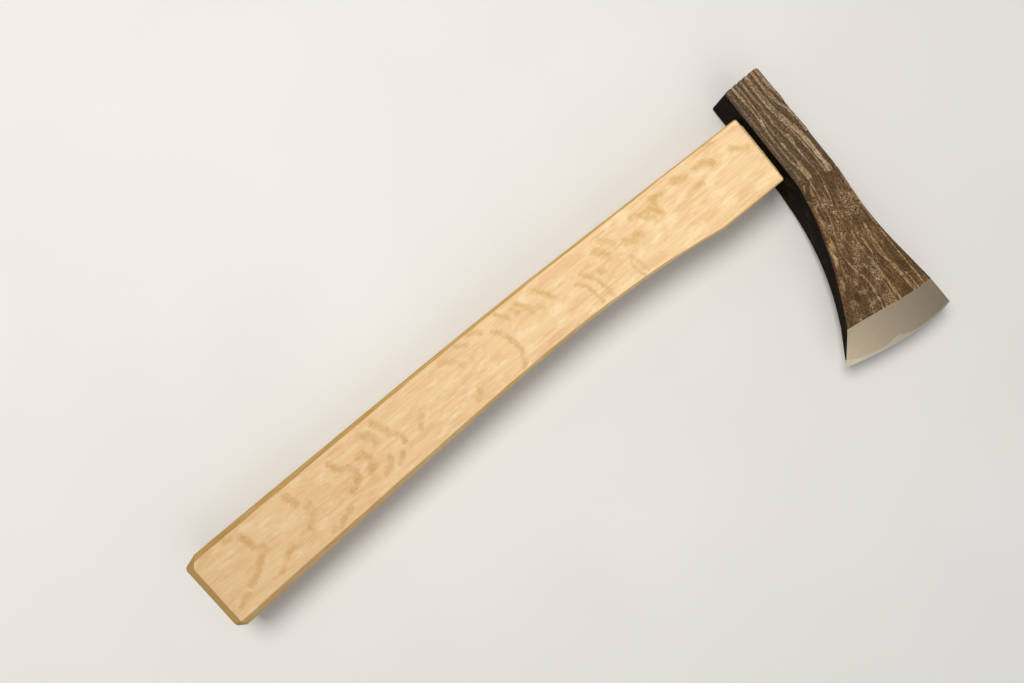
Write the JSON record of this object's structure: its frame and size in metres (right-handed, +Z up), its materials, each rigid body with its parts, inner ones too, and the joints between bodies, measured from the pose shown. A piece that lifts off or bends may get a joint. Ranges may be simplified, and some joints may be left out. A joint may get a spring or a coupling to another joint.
{
  "type": "carving hatchet",
  "caption": "Short carving hatchet: narrow forged head with thinned cheeks, flared beard and ground bevel, wedged on a straight-sided wooden handle with planed corners.",
  "frame": {"origin": "centre of the head's eye, dropped onto the plane of the lower cheek, on which the hatchet lies", "axes": "+X along the handle to its butt, +Y from the poll to the cutting edge, +Z up through the head's thickness, from the lower cheek to the upper"},
  "size_m": [0.3872, 0.157, 0.028],
  "materials": {
    "layered_iron": "forged layered iron, deeply etched along its grain, with dark forge scale on the narrow sides and a satin ground bevel",
    "edge_steel": "hard steel, ground and honed, satin",
    "handle_wood": "pale bare oak, planed, with ray fleck",
    "wedge_wood": "darker hardwood, end grain",
    "wedge_steel": "dull mild steel, hammered end"
  },
  "bodies": {
    "root": {"head_body": "layered_iron", "edge_steel": "edge_steel", "handle": "handle_wood", "wooden_wedge": "wedge_wood", "steel_wedges": "wedge_steel"}
  },
  "joints": []
}
